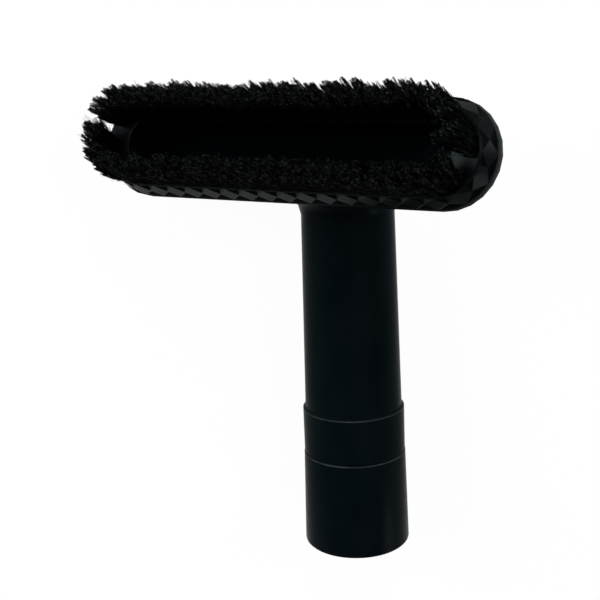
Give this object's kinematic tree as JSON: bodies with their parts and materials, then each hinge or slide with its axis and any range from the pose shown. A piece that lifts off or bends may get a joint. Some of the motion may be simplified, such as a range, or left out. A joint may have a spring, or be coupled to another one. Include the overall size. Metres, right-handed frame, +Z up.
{
  "type": "vacuum upholstery tool",
  "caption": "Long narrow brush head with bristle strips round a suction slot, on an angled hood and round tube that pushes onto a wand.",
  "frame": {"origin": "middle of the underside of the tool's box, on the surface that it lies on", "axes": "+Z up; +Y along the tube from its open socket end to the head; +X towards the raised end of the head"},
  "size_m": [0.1304, 0.179, 0.1028],
  "materials": {
    "body_plastic": "satin black, finely grained",
    "rim_plastic": "black, semi-gloss facets",
    "backing": "matt black",
    "bristle": "black hair-like bristles, dull"
  },
  "bodies": {
    "root": {"nozzle_body": "body_plastic", "brush_frame": "rim_plastic", "rear_strip_backing": "backing", "front_strip_backing": "backing", "rear_bristles": "bristle", "front_bristles": "bristle"}
  },
  "joints": []
}
